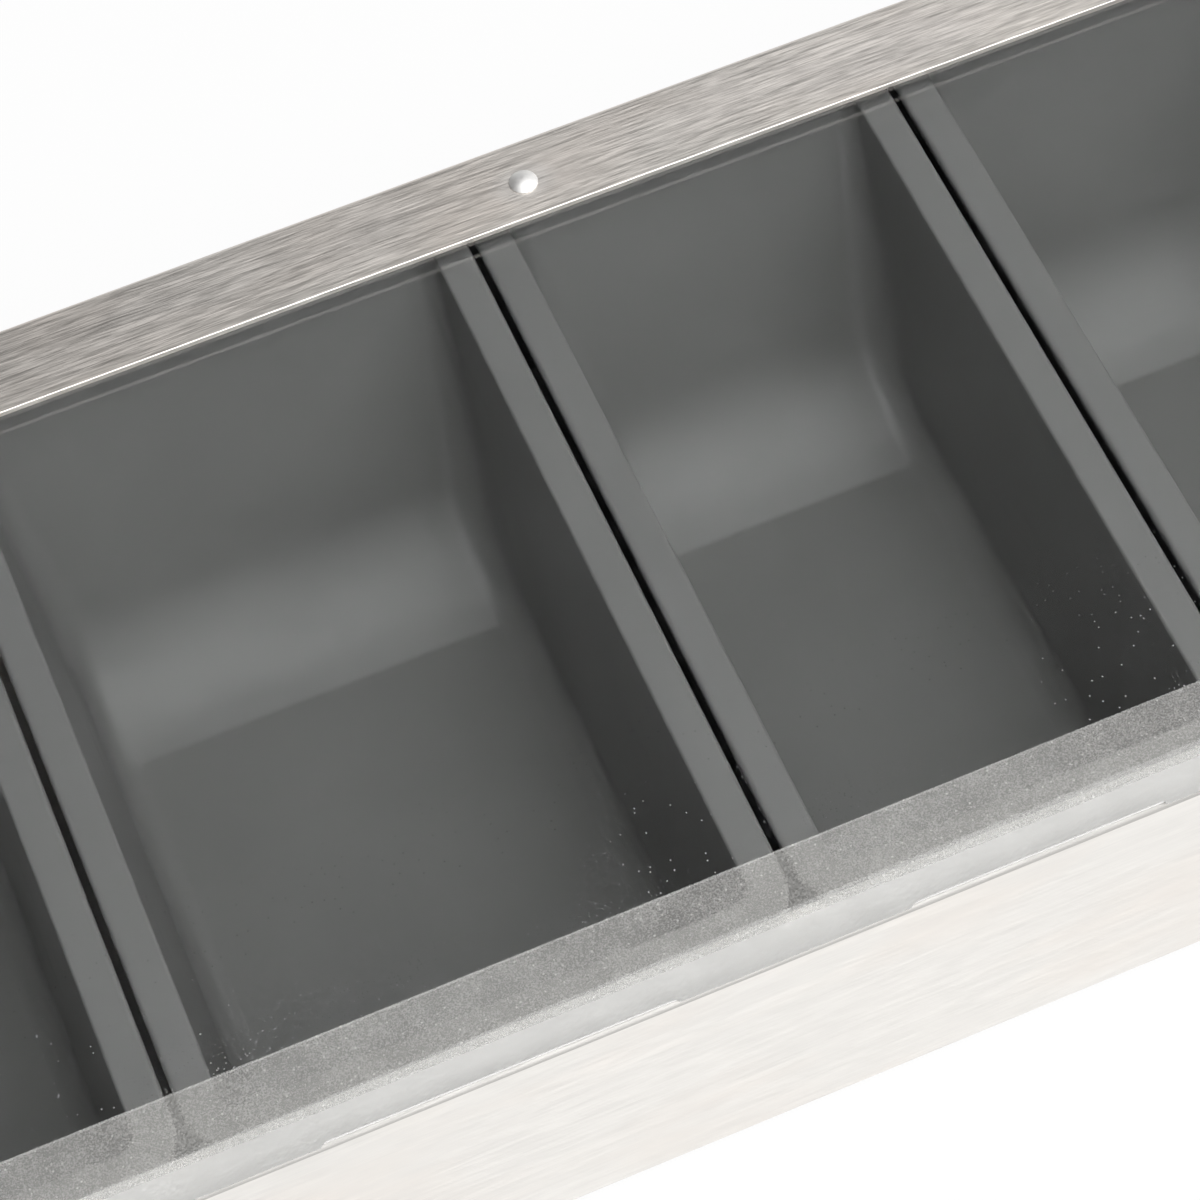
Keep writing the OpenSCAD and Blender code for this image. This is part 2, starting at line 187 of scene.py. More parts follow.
class GARNISHTRAY_PG_stage(PropertyGroup):
    floor: colour("Floor", "Colour of the floor", (0.9, 0.9, 0.9))
    floor_size: length("Floor size", "Length of the floor's sides", 8.0)
    key_power: power("Key power", "Power of the main lamp", 35.0)
    fill_power: power("Fill power", "Power of the fill lamp", 5.0)
    horizon: share("Horizon", "Brightness of the surroundings at the horizon", 1.0)
    zenith: share("Zenith", "Brightness of the surroundings overhead", 0.2)
    dark_patch: share("Dark patch", "Brightness of the surroundings above the rear", 0.03)
    left_side: share("Left side", "Brightness of the surroundings at the left", 0.08)
    ambient: share("Ambient", "Share of the surroundings that lights matt surfaces", 0.4)


def settings(context):
    """The scene's settings of this tray, by group."""
    scene = context.scene
    return (
        scene.garnish_tray_inserts,
        scene.garnish_tray_lid,
        scene.garnish_tray_metal,
        scene.garnish_tray_stage,
    )


# Meshes


def make_object(name, verts, faces, smooth_angle=30.0, materials=(), material_index=None):
    """A closed mesh object at the origin, with doubles merged and its faces turned outward."""
    mesh = bpy.data.meshes.new(name)
    mesh.from_pydata(np.asarray(verts, float).tolist(), [], [list(map(int, f)) for f in faces])
    for material in materials:
        mesh.materials.append(material)
    if material_index is not None:
        mesh.polygons.foreach_set("material_index", np.asarray(material_index, np.int32))
    work = bmesh.new()
    work.from_mesh(mesh)
    bmesh.ops.remove_doubles(work, verts=work.verts, dist=1e-7)
    bmesh.ops.dissolve_degenerate(work, edges=work.edges, dist=1e-7)
    bmesh.ops.recalc_face_normals(work, faces=work.faces)
    if work.calc_volume(signed=True) < 0:
        bmesh.ops.reverse_faces(work, faces=work.faces)
    open_edges = sum(1 for edge in work.edges if len(edge.link_faces) != 2)
    work.to_mesh(mesh)
    work.free()
    if open_edges:
        raise RuntimeError(f"{name} has {open_edges} open edges")
    mesh.shade_smooth()
    mesh.set_sharp_from_angle(angle=math.radians(smooth_angle))
    made = bpy.data.objects.new(name, mesh)
    bpy.context.collection.objects.link(made)
    return made


def grid_quads(rows, columns, closed):
    """Index quads of a grid of rows x columns points: (r, c), (r, c+1), (r+1, c+1), (r+1, c)."""
    index = np.arange(rows * columns).reshape(rows, columns)
    right = np.roll(index, -1, 1) if closed else index[:, 1:]
    left = index if closed else index[:, :-1]
    return np.stack([left[:-1], right[:-1], right[1:], left[1:]], -1).reshape(-1, 4)


def closed_outline():
    """Parameters of a rounded rectangle walked once round, counter-clockwise from its +X side.

    Point i lies at (1 - t) * corner a + t * corner b + radius * (cos u, sin u): on an arc t is 0 and
    u turns by 90 degrees, and on a side t runs from 0 to 1 while u stays.
    """
    turn = np.linspace(0, math.pi / 2, ARC_STEPS + 1)
    along = side_stations()
    a, b, t, u = [], [], [], []
    for corner in range(4):
        a.append(np.full(turn.size, corner))
        b.append(np.full(turn.size, corner))
        t.append(np.zeros(turn.size))
        u.append(corner * math.pi / 2 + turn)
        a.append(np.full(along.size, corner))
        b.append(np.full(along.size, (corner + 1) % 4))
        t.append(along)
        u.append(np.full(along.size, (corner + 1) * math.pi / 2))
    return tuple(np.concatenate(part) for part in (a, b, t, u))


def side_stations():
    """Places between 0 and 1 along a straight side, with one close to each end that keeps the side flat."""
    inner = np.linspace(0, 1, SIDE_STEPS + 1)[1:-1]
    return np.concatenate([[SIDE_END], inner, [1 - SIDE_END]])


def corner_centres(half_x, rear_y, front_y):
    """The four centres rear right, rear left, front left, front right as rows of x and y."""
    return np.array([[half_x, rear_y], [-half_x, rear_y], [-half_x, front_y], [half_x, front_y]])


def quarter(steps):
    """Cosine and sine from 0 to 90 degrees."""
    angle = np.linspace(0, math.pi / 2, steps + 1)
    return np.cos(angle), np.sin(angle)


def insert_mesh(width, depth, rim_z, own):
    """Points and faces of one insert, centred on its rim.

    Seen from above each column of points leaves the rounded outline in direction n(u). Its normal tilts
    down by p, N = (n cos p, -sin p), and its point is S(N) + R N, with S the centre of the ball of
    radius R that touches the bowl there. At the rear S climbs an arc of radius C by the angle q with
    tan q = sin u cos p / sin p. Between mouth and bowl the wall is the straight line between points of
    equal normal, where (mouth - S) . N = R. Inside, the arc's first stretch is replaced by the floor and
    the arc's tangent of angle c, which meet in a crease at C' tan(c / 2) with C' the scoop's radius.
    """
    a, b, t, u = closed_outline()
    normal = np.stack([np.cos(u), np.sin(u)], 1)
    rearward = np.maximum(np.sin(u), 0.0)

    def blend(corners):
        """The centre that each column of points turns round, between two corners."""
        return corners[a] * (1 - t)[:, None] + corners[b] * t[:, None]

    def row(centres, radius, z):
        """Points at a radius from these centres, at one height."""
        flat = centres + normal * np.reshape(radius, (-1, 1))
        return np.column_stack([flat, np.broadcast_to(z, len(flat))])

    mouth_r = own.mouth_corner
    mouth_x = width / 2 - own.rim_width
    mouth_y = depth / 2 - own.rim_width
    ball_x = mouth_x - own.draft - own.floor_radius
    front_y = own.draft / 2 + own.floor_radius - mouth_y
    rear_y = mouth_y - own.scoop_run
    outside_r = own.rim_corner
    rim = blend(corner_centres(width / 2 - outside_r, depth / 2 - outside_r, outside_r - depth / 2))
    mouth = blend(corner_centres(mouth_x - mouth_r, mouth_y - mouth_r, mouth_r - mouth_y))
    ball = blend(corner_centres(ball_x, rear_y, front_y))
    inset = blend(corner_centres(ball_x - FLOOR_INSET, rear_y - FLOOR_INSET, front_y + FLOOR_INSET))
    ball_z = rim_z - own.depth + own.floor_radius
    climb = own.scoop_radius - own.floor_radius
    arc_end = own.scoop_radius * math.sin(own.crease)
    crease_place = own.scoop_radius * math.tan(own.crease / 2)

    def bowl_row(radius, tilt):
        """The points of the bowl whose normals tilt down by these angles."""
        cos, sin = np.cos(tilt), np.sin(tilt)
        reach = np.hypot(rearward * cos, sin)
        points = row(ball, radius * cos, 0.0)
        points[:, 1] += climb * rearward * cos / reach
        points[:, 2] = ball_z + climb * (1 - sin / reach) - radius * sin
        if radius == own.floor_radius:
            ahead = np.clip(points[:, 1] - rear_y, 0.0, arc_end)
            arc = own.scoop_radius - np.sqrt(own.scoop_radius**2 - ahead**2)
            ramp = np.maximum(ahead - crease_place, 0.0) * math.tan(own.crease)
            points[:, 2] += (ramp - arc) * (points[:, 1] < rear_y + arc_end)
        return points

    def wall_tilt(radius, mouth_radius, mouth_z):
        """Halves the range of tilts until the mouth's edge lies on the wall's tangent plane."""
        across = np.einsum("ij,ij->i", mouth - ball, normal) + mouth_radius
        low = np.full(len(u), LEAST_TILT)
        high = np.full(len(u), math.pi / 2)
        for _ in range(TILT_HALVINGS):
            tilt = (low + high) / 2
            cos, sin = np.cos(tilt), np.sin(tilt)
            reach = np.hypot(rearward * cos, sin)
            left = across * cos - (mouth_z - ball_z) * sin - climb * (reach - sin) - radius
            low = np.where(left > 0, tilt, low)
            high = np.where(left > 0, high, tilt)
        return tilt

    def wall_rows(radius, mouth_radius, mouth_z, top_z):
        """Rows from the height top_z down the wall, round its fillet and over the crease to the floor."""
        tilt = wall_tilt(radius, mouth_radius, mouth_z)
        low = bowl_row(radius, tilt)
        high = row(mouth, mouth_radius, mouth_z)
        start = ((mouth_z - top_z) / (mouth_z - low[:, 2]))[:, None]
        places = [start + (1 - start) * k for k in WALL_PLACES]
        rows = [high * (1 - place) + low * place for place in places]
        level = math.pi / 2
        fillet = np.linspace(0, 1, FILLET_STEPS + 1)
        rows += [bowl_row(radius, tilt + (level - own.crease - tilt) * k) for k in fillet]
        rows += [bowl_row(radius, np.full(len(u), level - own.crease * k)) for k in CREASE_PLACES]
        rows.append(row(inset, 0.0, ball_z - radius))
        return rows

    cos, sin = quarter(EDGE_STEPS)
    under_z = rim_z - own.rim_thickness
    foot = 0.0002
    edge = own.rim_edge
    lip = own.mouth_edge
    outer = wall_rows(own.floor_radius + own.wall, mouth_r + own.wall, rim_z - lip, under_z)[::-1]
    rim_rows = [
        row(mouth, mouth_r + own.wall + FLAT_GAP, under_z),
        row(rim, outside_r - foot - FLAT_GAP, under_z),
    ]
    rim_rows += [row(rim, outside_r - foot + foot * s, under_z + foot - foot * c) for c, s in zip(cos, sin)]
    rim_rows += [row(rim, outside_r - edge + edge * c, rim_z - edge + edge * s) for c, s in zip(cos, sin)]
    rim_rows += [
        row(rim, outside_r - edge - FLAT_GAP, rim_z),
        row(mouth, mouth_r + lip + FLAT_GAP, rim_z),
    ]
    rim_rows += [row(mouth, mouth_r + lip - lip * s, rim_z - lip + lip * c) for c, s in zip(cos, sin)]
    inner = wall_rows(own.floor_radius, mouth_r, rim_z - lip, rim_z - lip)
    rows = outer + rim_rows + inner
    verts = np.concatenate(rows)
    count = len(u)
    quads = grid_quads(len(rows), count, closed=True)
    last = (len(rows) - 1) * count
    faces = [*quads, np.arange(count)[::-1], np.arange(last, last + count)]
    return verts, faces


def recess_lift(x, recesses, height):
    """How far the lip's foot is raised at x.

    With h the height, it is h sqrt(1 - (1 - e / h)^2) at a distance e < h inside a recess's end, and h
    farther in.
    """
    lift = np.zeros(len(x))
    for start, end in recesses:
        inside = np.clip(np.minimum(x - start, end - x), 0.0, height)
        lift = np.maximum(lift, np.sqrt(height**2 - (height - inside) ** 2))
    return lift


def recess_stations(recesses, height, first, last):
    """Places along the front edge: even ones, and close ones round the ends of each recess."""
    turn = 1 - np.cos(np.linspace(0, math.pi / 2, EDGE_STEPS + 1))
    ends = [end + way * height * turn for pair in recesses for end, way in zip(pair, (1, -1))]
    even = np.linspace(first, last, 2 * SIDE_STEPS + 1)
    far = [x for x in even if all(abs(x - end) > 2 * height for pair in recesses for end in pair)]
    return np.unique(np.round(np.concatenate([far, *ends]), 7))


def lid_mesh(own, left, right, front, rear, lip_z, top_z, recesses):
    """Points, faces and material numbers of the lid.

    Its edge's section is carried round the left end, the front and the right end. Row k of the
    section is the outline at inset i(k) and height z(k), with corners of radius r(k) and the material
    number of the faces that lead to it. The lip's foot is raised over each recess. The flat top and
    underside and the two ends of the section at the rear close it.
    """
    cos, sin = quarter(FILLET_STEPS)
    thick, edge, corner = own.thickness, own.edge, own.corner
    inner_edge = edge - thick
    foot = 0.00012
    border, step = own.frost_width, own.frost_step
    # Corner radii of the clear part, of the step's foot and of the row beyond it
    clear_corner, step_corner, border_corner = 0.0037, 0.004, 0.0042
    # Distances of the rows that keep the faces next to an edge flat
    top_gap, step_gap, under_gap = 0.0003, 0.0004, 0.0005
    # Sine of the edge's turn from which on it has the lip's finish
    lip_from = 0.5
    section = [
        (border + top_gap, clear_corner, top_z, CLEAR),
        (border + step, clear_corner, top_z, BORDER),
        (border, step_corner, top_z - step, BORDER),
        (border - step_gap, border_corner, top_z - step, BORDER),
        (edge + top_gap, corner - edge, top_z - step, BORDER),
    ]
    for c, s in zip(cos, sin):
        finish = LIP if s > lip_from else BORDER
        section.append((edge - edge * s, corner - edge + edge * s, top_z - step - edge + edge * c, finish))
    first_foot = len(section)
    # The foot's two small roundings take every fourth step
    foot_turn = list(zip(cos[::4], sin[::4]))
    for c, s in foot_turn:
        section.append((foot - foot * c, corner - foot + foot * c, lip_z + foot - foot * s, LIP))
    for c, s in foot_turn:
        inset = thick - foot + foot * s
        section.append((inset, corner - thick + foot - foot * s, lip_z + foot - foot * c, LIP))
    foot_rows = range(first_foot, len(section))
    for c, s in zip(cos, sin):
        inset = edge - inner_edge * c
        section.append((inset, corner - edge + inner_edge * c, top_z - edge + inner_edge * s, LIP))
    section.append((edge + under_gap, corner - edge, top_z - thick, CLEAR))
    turn = np.linspace(0, math.pi / 2, ARC_STEPS + 1)
    along = side_stations()[:, None]
    clear_of_corners = border + own.corner
    first, final = left + clear_of_corners, right - clear_of_corners
    stations = recess_stations(recesses, own.recess_height, first, final)
    least_corner = 0.0002
    rows = []
    for number, (inset, radius, z, _) in enumerate(section):
        radius = max(radius, least_corner)
        left_c = np.array([left + inset + radius, front + inset + radius])
        right_c = np.array([right - inset - radius, front + inset + radius])
        left_arc = left_c - radius * np.column_stack([np.cos(turn), np.sin(turn)])
        right_arc = right_c + radius * np.column_stack([np.sin(turn), -np.cos(turn)])
        start = np.array([[left + inset, rear]])
        end = np.array([[right - inset, rear]])
        flat = np.concatenate([
            start,
            start + (left_arc[:1] - start) * along,
            left_arc,
            np.column_stack([stations, np.full(len(stations), front + inset)]),
            right_arc,
            right_arc[-1:] + (end - right_arc[-1:]) * along,
            end,
        ])
        lift = recess_lift(flat[:, 0], recesses, own.recess_height) * (flat[:, 1] < front + own.edge)
        rows.append(np.column_stack([flat, z + lift * (number in foot_rows)]))
    verts = np.concatenate(rows)
    count = len(rows[0])
    quads = grid_quads(len(rows), count, closed=False)
    band = np.repeat([finish for *_, finish in section[1:]], count - 1)
    last = (len(rows) - 1) * count
    left_column = np.arange(len(rows)) * count
    right_column = left_column + count - 1
    top = np.arange(count)[::-1]
    under = np.arange(last, last + count)
    rear_cap = np.concatenate([left_column[::-1], right_column])
    faces = [*quads, top, under, rear_cap]
    return verts, faces, np.concatenate([band, [CLEAR] * 3])


def revolve(profile, steps):
    """Points and faces of a closed profile of (radius, height) turned once round Z.

    Point (i, j) is (r_i cos v_j, r_i sin v_j, z_i), and the two ends lie on the axis.
    """
    profile = np.asarray(profile, float)
    turn = np.arange(steps) * 2 * math.pi / steps
    x = profile[:, :1] * np.cos(turn)
    y = profile[:, :1] * np.sin(turn)
    z = np.repeat(profile[:, 1:], steps, 1)
    return np.stack([x, y, z], -1).reshape(-1, 3), grid_quads(len(profile), steps, closed=True)


def rivet_profile(own, seat_z, tail_z, head_top_z):
    """Half section of a blind rivet from the tail's middle up over the shank to the head's top."""
    radius, height, shank = own.rivet_radius, own.rivet_height, own.shank_radius
    tail_height = 0.0004
    tail_bevel = 0.0002
    seat_edge = 0.0003
    rim = 0.00022
    cos, sin = quarter(EDGE_STEPS)
    profile = [
        (0, tail_z),
        (radius - tail_bevel, tail_z),
        (radius, tail_z + tail_bevel),
        (radius, tail_z + tail_height),
        (shank, tail_z + tail_height),
        (shank, seat_z),
        (radius - seat_edge, seat_z),
    ]
    profile += [(radius - rim + rim * s, seat_z + rim - rim * c) for c, s in zip(cos, sin)]
    rise = height - rim
    ball = (radius * radius + rise * rise) / (2 * rise)
    reach = math.asin(radius / ball)
    for angle in np.linspace(reach, 0, DOME_STEPS + 1)[1:]:
        profile.append((ball * math.sin(angle), head_top_z - ball + ball * math.cos(angle)))
    return profile


# Materials

# Range that holds nearly all of a noise's values
NOISE_SPAN = (0.3, 0.7)
# Painted light: the rims are lighter by this factor, from one depth under their top up to another, as if
# their tops caught more light than the bowls
RIM_PAINTED_LIGHT_GAIN = 1.18
RIM_PAINTED_LIGHT_FROM = 0.0012
RIM_PAINTED_LIGHT_FULL = 0.0004
# Dust on the lid: dots to the metre, their radius and share, and how far behind the border they reach
NEAR_DUST = (1400, 0.18, 0.3)
NEAR_DUST_END = 0.009
SPARSE_DUST = (600, 0.09, 0.22)
SPARSE_DUST_FULL = 0.004
SPARSE_DUST_END = 0.04
# Share of light that gets through a grain of dust
DUST_OPEN = 0.6
# Depths under the lid's top between which the dust ends
DUST_LOW = 0.0004
DUST_HIGH = 0.0002
# Lighter ovals round the rail's rivets: stretch, distances where they end and are full, strength
HALO_STRETCH = 1.45
HALO_END = 0.0064
HALO_FULL = 0.0036
HALO_SHARE = 0.3
HALO_COLOUR = (0.93, 0.92, 0.9)
# Painted shade on the flange's front under the lip: width of its soft edge in height and in depth, and its
# brightness
PAINTED_SHADE_SOFT_Z = 0.0002
PAINTED_SHADE_SOFT_Y = 0.0003
PAINTED_SHADE_GAIN = 0.55
# Gains in red, green and blue of the steel's warm stains
WARM_GAINS = (1.03, 0.985, 0.955)
# Refractive indices of acrylic sheet and of the inserts' plastic
ACRYLIC_IOR = 1.49
PLASTIC_IOR = 1.58


class Nodes:
    """A material's node tree, with short calls for the nodes that the finishes share."""

    def __init__(self, name):
        self.material = bpy.data.materials.new(name)
        self.material.use_nodes = True
        self.tree = self.material.node_tree
        self.shader = self.tree.nodes["Principled BSDF"]
        self.place = self.tree.nodes.new("ShaderNodeTexCoord").outputs["Object"]

    def set(self, **values):
        """Sets inputs of the shader by name, with an underscore for each space."""
        for name, value in values.items():
            socket = self.shader.inputs[name.replace("_", " ")]
            socket.default_value = (*value, 1.0) if socket.type == "RGBA" else value

    def link(self, output, name):
        """Links an output to one of the shader's inputs."""
        self.tree.links.new(output, self.shader.inputs[name])

    def feed(self, socket, value):
        """Links an output to a socket, or sets the socket to a colour or a number."""
        if isinstance(value, bpy.types.NodeSocket):
            self.tree.links.new(value, socket)
        elif socket.type == "RGBA":
            socket.default_value = (*value, 1.0)
        else:
            socket.default_value = value

    def scaled(self, scale):
        """Object coordinates times a scale in each direction."""
        node = self.tree.nodes.new("ShaderNodeMapping")
        node.inputs["Scale"].default_value = scale
        self.tree.links.new(self.place, node.inputs["Vector"])
        return node.outputs["Vector"]

    def noise(self, scale, detail=2.0, rough=0.5):
        """Noise with `scale` blotches to the metre in each direction."""
        node = self.tree.nodes.new("ShaderNodeTexNoise")
        node.inputs["Scale"].default_value = 1.0
        node.inputs["Detail"].default_value = detail
        node.inputs["Roughness"].default_value = rough
        self.tree.links.new(self.scaled(scale), node.inputs["Vector"])
        return node.outputs["Fac"]

    def dots(self, density, radius, share_of, flat=False):
        """1 in soft round dots at a share of a cloud of points, 0 between them.

        There are `density` points to the metre, and the radius is a share of their spacing.
        """
        node = self.tree.nodes.new("ShaderNodeTexVoronoi")
        node.voronoi_dimensions = "2D" if flat else "3D"
        node.inputs["Scale"].default_value = 1.0
        self.tree.links.new(self.scaled((density, density, density)), node.inputs["Vector"])
        split = self.tree.nodes.new("ShaderNodeSeparateColor")
        self.tree.links.new(node.outputs["Color"], split.inputs["Color"])
        chosen = self.math("LESS_THAN", split.outputs["Red"], share_of)
        soft = self.ramp(node.outputs["Distance"], radius, radius * 0.6)
        return self.math("MULTIPLY", chosen, soft)

    def ramp(self, value, low, high, start=0.0, end=1.0):
        """Maps low..high to start..end, clamped."""
        node = self.tree.nodes.new("ShaderNodeMapRange")
        node.clamp = True
        for name, number in (("From Min", low), ("From Max", high), ("To Min", start), ("To Max", end)):
            node.inputs[name].default_value = number
        self.feed(node.inputs["Value"], value)
        return node.outputs["Result"]

    def math(self, kind, first, second):
        """One step of arithmetic on two outputs or numbers."""
        node = self.tree.nodes.new("ShaderNodeMath")
        node.operation = kind
        self.feed(node.inputs[0], first)
        self.feed(node.inputs[1], second)
        return node.outputs[0]

    def mix(self, share_of, first, second):
        """First and second colour mixed by a share."""
        node = self.tree.nodes.new("ShaderNodeMix")
        node.data_type = "RGBA"
        self.feed(node.inputs["Factor"], share_of)
        self.feed(node.inputs[6], first)
        self.feed(node.inputs[7], second)
        return node.outputs[2]

    def around(self, value, middle, spread, span=NOISE_SPAN):
        """Maps a span of values to the numbers from middle - spread to middle + spread."""
        return self.ramp(value, *span, middle - spread, middle + spread)

    def shade(self, value, base, darker, lighter, span=NOISE_SPAN):
        """Maps a span of values to a colour times a gain between two."""
        return self.mix(self.ramp(value, *span), scaled_colour(base, darker), scaled_colour(base, lighter))

    def axis(self, name):
        """One of the Object coordinates."""
        node = self.tree.nodes.new("ShaderNodeSeparateXYZ")
        self.tree.links.new(self.place, node.inputs["Vector"])
        return node.outputs[name]

    def bump(self, height, distance, strength):
        """Relief from an output, with its height in metres."""
        node = self.tree.nodes.new("ShaderNodeBump")
        node.inputs["Distance"].default_value = distance
        node.inputs["Strength"].default_value = strength
        self.tree.links.new(height, node.inputs["Height"])
        self.link(node.outputs["Normal"], "Normal")


def scaled_colour(base, factor):
    """A colour made darker or lighter by one factor."""
    return tuple(min(1.0, part * factor) for part in base)


def insert_plastic(own):
    """Satin moulded plastic: fine grain, slow tone changes, faint scuffs and rims made lighter as painted
    light.
    """
    n = Nodes("insert_plastic")
    tone = n.noise((38, 38, 38), detail=3)
    grain = n.noise((2600, 2600, 2600), detail=2)
    base = n.shade(tone, own.plastic, 0.95, 1.05)
    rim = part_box(INSERTS[0])[1].z
    # Painted light: the rim's top is lighter than the bowl under it
    painted_light = n.ramp(n.axis("Z"), rim - RIM_PAINTED_LIGHT_FROM, rim - RIM_PAINTED_LIGHT_FULL)
    n.link(n.mix(painted_light, base, scaled_colour(own.plastic, RIM_PAINTED_LIGHT_GAIN)), "Base Color")
    even = n.around(grain, own.roughness, 0.03)
    scuff = n.ramp(n.noise((900, 28, 300), detail=3), 0.6, 0.75, 0.0, 0.05)
    n.link(n.math("ADD", even, scuff), "Roughness")
    n.bump(grain, 0.00001, 0.5)
    n.set(IOR=PLASTIC_IOR)
    return n.material


def clear_sheet(own):
    """Clear moulded acrylic with white dust on its top, which thins out behind the frosted border."""
    n = Nodes("clear_sheet")
    low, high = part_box("lid_panel")
    border = low.y + own.frost_width
    depth = n.axis("Y")
    top = n.ramp(n.axis("Z"), high.z - DUST_LOW, high.z - DUST_HIGH)
    near_share = n.ramp(depth, border + NEAR_DUST_END, border)
    near = n.math("MULTIPLY", n.dots(*NEAR_DUST, flat=True), near_share)
    patch = n.ramp(n.noise((30, 60, 30), detail=2), 0.45, 0.6)
    sparse_share = n.ramp(depth, border + SPARSE_DUST_END, border + SPARSE_DUST_FULL)
    sparse = n.math("MULTIPLY", n.dots(*SPARSE_DUST, flat=True), sparse_share)
    dust = n.math("MULTIPLY", top, n.math("MAXIMUM", n.math("MULTIPLY", near, patch), sparse))
    n.link(n.ramp(dust, 0.0, 1.0, 1.0, DUST_OPEN), "Transmission Weight")
    n.set(Base_Color=own.clear, Roughness=0.0, IOR=ACRYLIC_IOR)
    return n.material


def frosted_sheet(name, tint, open_share, rough):
    """Blasted acrylic: a fine grain of clearer and whiter dots over what lies under it."""
    n = Nodes(name)
    grain = n.noise((4200, 4200, 4200), detail=3, rough=0.6)
    blotch = n.noise((160, 160, 160), detail=2)
    even = n.around(grain, open_share, 0.12, span=(0.33, 0.67))
    whiter = n.math("MULTIPLY", n.dots(1300, 0.25, 0.3), -0.22)
    through = n.math("ADD", even, n.math("ADD", n.around(blotch, 0.0, 0.03), whiter))
    n.link(through, "Transmission Weight")
    n.link(n.around(grain, rough, -0.05), "Roughness")
    n.set(Base_Color=tint, IOR=ACRYLIC_IOR)
    return n.material


def brushed_steel(name, base, coarse, rough, along="X", painted_shade=None, halos=()):
    """Brushed steel: streaks along one axis in colour, roughness and height, and slow warm stains.

    Given a height and a depth for the shade under the lip, it is darker above that height and before that
    depth: painted shade under the lip over the front fold.
    Round each place of `halos`, where a rivet was set, it is lighter in an oval.
    """
    n = Nodes(name)

    def streaks(lengthwise, crosswise, detail, share_of):
        """Noise with its blotches drawn out along the brushing, times a share."""
        scale = (lengthwise, crosswise, crosswise) if along == "X" else (crosswise, lengthwise, crosswise)
        return n.math("MULTIPLY", n.noise(scale, detail=detail, rough=0.65), share_of)

    # Fine, middle and broad streaks, with the number of blotches to the metre along and across them
    fine = streaks(150, 5200, 3, 0.62)
    streak = n.math("ADD", n.math("ADD", fine, streaks(70, 2300, 3, 0.28)), streaks(14, 420, 2, 0.1))
    stain = n.noise((30, 70, 70), detail=2)
    tone = n.shade(streak, base, 1 - coarse, 1 + coarse, span=(0.4, 0.6))
    warm = tuple(part * gain for part, gain in zip(base, WARM_GAINS))
    tinted = n.mix(n.ramp(stain, 0.45, 0.75, 0.0, 0.5), tone, warm)
    for place in halos:
        near = n.tree.nodes.new("ShaderNodeVectorMath")
        near.operation = "DISTANCE"
        n.tree.links.new(n.scaled((1.0, HALO_STRETCH, 0.0)), near.inputs[0])
        near.inputs[1].default_value = (place.x, place.y * HALO_STRETCH, 0.0)
        ring = n.ramp(near.outputs["Value"], HALO_END, HALO_FULL)
        tinted = n.mix(n.math("MULTIPLY", ring, HALO_SHARE), tinted, HALO_COLOUR)
    # Painted shade: darker above a height and before a depth, under the lip's overhang
    if painted_shade:
        height, depth = painted_shade
        above = n.ramp(n.axis("Z"), height - PAINTED_SHADE_SOFT_Z, height)
        before = n.ramp(n.axis("Y"), depth, depth - PAINTED_SHADE_SOFT_Y)
        tinted = n.mix(n.math("MULTIPLY", above, before), tinted, scaled_colour(base, PAINTED_SHADE_GAIN))
    n.link(tinted, "Base Color")
    n.link(n.around(streak, rough, 0.07, span=(0.38, 0.62)), "Roughness")
    n.bump(fine, 0.00002, 0.6)
    tangent = n.tree.nodes.new("ShaderNodeTangent")
    tangent.direction_type = "RADIAL"
    tangent.axis = along
    n.link(tangent.outputs["Tangent"], "Tangent")
    n.set(Metallic=1.0, Anisotropic=0.7)
    return n.material


def satin_metal(name, base, rough):
    """Tumbled metal: small hammered tone changes and fine scratches."""
    n = Nodes(name)
    tone = n.noise((420, 420, 420), detail=3)
    grain = n.noise((3000, 3000, 3000), detail=2)
    n.link(n.shade(tone, base, 0.92, 1.05), "Base Color")
    n.link(n.around(grain, rough, 0.06), "Roughness")
    n.bump(grain, 0.00001, 0.5)
    n.set(Metallic=1.0)
    return n.material


def rubber(own):
    """Matt rubber with a fine pebble."""
    n = Nodes("pad_rubber")
    pebble = n.noise((1500, 1500, 1500), detail=2)
    n.link(n.shade(pebble, own.pad, 0.8, 1.25), "Base Color")
    n.link(n.around(pebble, 0.7, 0.08), "Roughness")
    n.bump(pebble, 0.00004, 0.6)
    return n.material


def dress(names, material):
    """Gives CAD nodes a material."""
    for name in names:
        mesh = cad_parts[name].data
        mesh.materials.clear()
        mesh.materials.append(material)


# Operators


class GARNISHTRAY_OT_inserts(Operator):
    """Make the five lift-out inserts"""

    bl_idname = "garnish_tray.inserts"
    bl_label = "Inserts"

    def execute(self, context):
        own = settings(context)[0]
        plastic = insert_plastic(own)
        for name in INSERTS:
            low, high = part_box(name)
            middle = (low + high) / 2
            verts, faces = insert_mesh(high.x - low.x, high.y - low.y, high.z, own)
            verts = verts + np.array([middle.x, middle.y, 0.0])
            made = make_object(name + "_moulding", verts, faces, materials=[plastic])
            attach(made, name)
            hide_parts(name)
        return {"FINISHED"}


